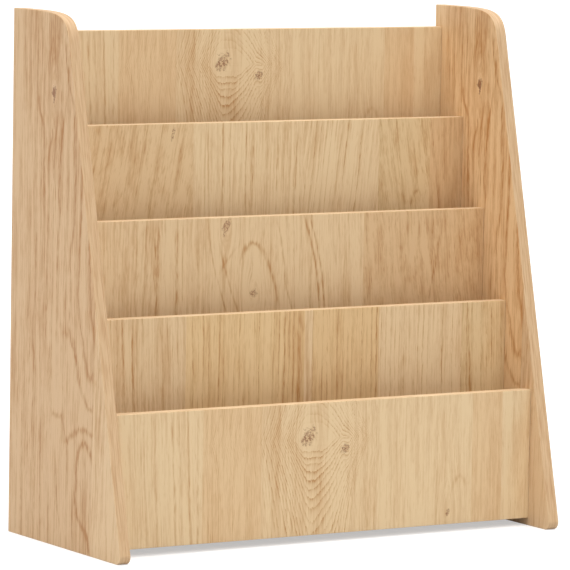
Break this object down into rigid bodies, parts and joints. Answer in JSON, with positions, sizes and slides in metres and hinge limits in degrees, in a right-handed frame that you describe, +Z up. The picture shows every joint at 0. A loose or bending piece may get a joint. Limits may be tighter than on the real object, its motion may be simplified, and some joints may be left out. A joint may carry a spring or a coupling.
{
  "type": "tiered kids bookcase",
  "caption": "Tiered kids bookcase in light oak finish: sloping side panels carry stepped cross boards and pocket floors that hold books face on.",
  "frame": {"origin": "on the floor, under the middle of the bookcase's bounding box", "axes": "+Z up, +Y to the rear, so the pockets face -Y, +X to the right seen from the front"},
  "size_m": [0.65, 0.2922, 0.667],
  "materials": {
    "oak_side": "light natural oak decor, satin, grain upright",
    "oak_board": "light natural oak decor, satin, grain upright, paler top edges",
    "oak_floor": "light natural oak decor, satin, grain lengthways",
    "beech_dowel": "plain turned beech",
    "zinc_cam": "die-cast zinc, satin",
    "steel_bolt": "zinc-plated steel",
    "steel_screw": "yellow zinc-plated steel"
  },
  "bodies": {
    "carcass": {"side_panel_left": "oak_side", "side_panel_right": "oak_side", "back_board": "oak_board", "upper_divider": "oak_board", "middle_divider": "oak_board", "lower_divider": "oak_board", "front_board": "oak_board", "pocket_floor_top": "oak_floor", "pocket_floor_upper": "oak_floor", "pocket_floor_middle": "oak_floor", "pocket_floor_bottom": "oak_floor", "back_board_dowel_left": "beech_dowel", "back_board_dowel_right": "beech_dowel", "upper_divider_dowel_left": "beech_dowel", "upper_divider_dowel_right": "beech_dowel", "middle_divider_dowel_left": "beech_dowel", "middle_divider_dowel_right": "beech_dowel", "lower_divider_dowel_left": "beech_dowel", "lower_divider_dowel_right": "beech_dowel", "front_board_dowel_left": "beech_dowel", "front_board_dowel_right": "beech_dowel", "pocket_floor_top_dowel_left": "beech_dowel", "pocket_floor_top_dowel_right": "beech_dowel", "pocket_floor_upper_dowel_left": "beech_dowel", "pocket_floor_upper_dowel_right": "beech_dowel", "pocket_floor_middle_dowel_left": "beech_dowel", "pocket_floor_middle_dowel_right": "beech_dowel", "pocket_floor_bottom_dowel_left": "beech_dowel", "pocket_floor_bottom_dowel_right": "beech_dowel", "back_board_bolt_left": "steel_bolt", "back_board_bolt_right": "steel_bolt", "upper_divider_bolt_left": "steel_bolt", "upper_divider_bolt_right": "steel_bolt", "middle_divider_bolt_left": "steel_bolt", "middle_divider_bolt_right": "steel_bolt", "lower_divider_bolt_left": "steel_bolt", "lower_divider_bolt_right": "steel_bolt", "front_board_bolt_left": "steel_bolt", "front_board_bolt_right": "steel_bolt", "pocket_floor_top_screw_left": "steel_screw", "pocket_floor_top_screw_right": "steel_screw", "pocket_floor_upper_screw_left": "steel_screw", "pocket_floor_upper_screw_right": "steel_screw", "pocket_floor_middle_screw_left": "steel_screw", "pocket_floor_middle_screw_right": "steel_screw", "pocket_floor_bottom_screw_left": "steel_screw", "pocket_floor_bottom_screw_right": "steel_screw"},
    "back_cam_left": {"back_board_cam_left": "zinc_cam"},
    "back_cam_right": {"back_board_cam_right": "zinc_cam"},
    "upper_cam_left": {"upper_divider_cam_left": "zinc_cam"},
    "upper_cam_right": {"upper_divider_cam_right": "zinc_cam"},
    "middle_cam_left": {"middle_divider_cam_left": "zinc_cam"},
    "middle_cam_right": {"middle_divider_cam_right": "zinc_cam"},
    "lower_cam_left": {"lower_divider_cam_left": "zinc_cam"},
    "lower_cam_right": {"lower_divider_cam_right": "zinc_cam"},
    "front_cam_left": {"front_board_cam_left": "zinc_cam"},
    "front_cam_right": {"front_board_cam_right": "zinc_cam"}
  },
  "joints": [
    {"name": "back_cam_left_turn", "type": "hinge", "parent": "carcass", "child": "back_cam_left", "pos_m": [-0.286, 0.13762, 0.411], "axis": [0, 1, 0], "range_deg": [0, 180]},
    {"name": "back_cam_right_turn", "type": "hinge", "parent": "carcass", "child": "back_cam_right", "pos_m": [0.286, 0.13762, 0.411], "axis": [0, 1, 0], "range_deg": [0, 180]},
    {"name": "upper_cam_left_turn", "type": "hinge", "parent": "carcass", "child": "upper_cam_left", "pos_m": [-0.286, 0.08262, 0.2945], "axis": [0, 1, 0], "range_deg": [0, 180]},
    {"name": "upper_cam_right_turn", "type": "hinge", "parent": "carcass", "child": "upper_cam_right", "pos_m": [0.286, 0.08262, 0.2945], "axis": [0, 1, 0], "range_deg": [0, 180]},
    {"name": "middle_cam_left_turn", "type": "hinge", "parent": "carcass", "child": "middle_cam_left", "pos_m": [-0.286, 0.02762, 0.178], "axis": [0, 1, 0], "range_deg": [0, 180]},
    {"name": "middle_cam_right_turn", "type": "hinge", "parent": "carcass", "child": "middle_cam_right", "pos_m": [0.286, 0.02762, 0.178], "axis": [0, 1, 0], "range_deg": [0, 180]},
    {"name": "lower_cam_left_turn", "type": "hinge", "parent": "carcass", "child": "lower_cam_left", "pos_m": [-0.286, -0.02738, 0.068], "axis": [0, 1, 0], "range_deg": [0, 180]},
    {"name": "lower_cam_right_turn", "type": "hinge", "parent": "carcass", "child": "lower_cam_right", "pos_m": [0.286, -0.02738, 0.068], "axis": [0, 1, 0], "range_deg": [0, 180]},
    {"name": "front_cam_left_turn", "type": "hinge", "parent": "carcass", "child": "front_cam_left", "pos_m": [-0.286, -0.09038, 0.068], "axis": [0, 1, 0], "range_deg": [0, 180]},
    {"name": "front_cam_right_turn", "type": "hinge", "parent": "carcass", "child": "front_cam_right", "pos_m": [0.286, -0.09038, 0.068], "axis": [0, 1, 0], "range_deg": [0, 180]}
  ]
}
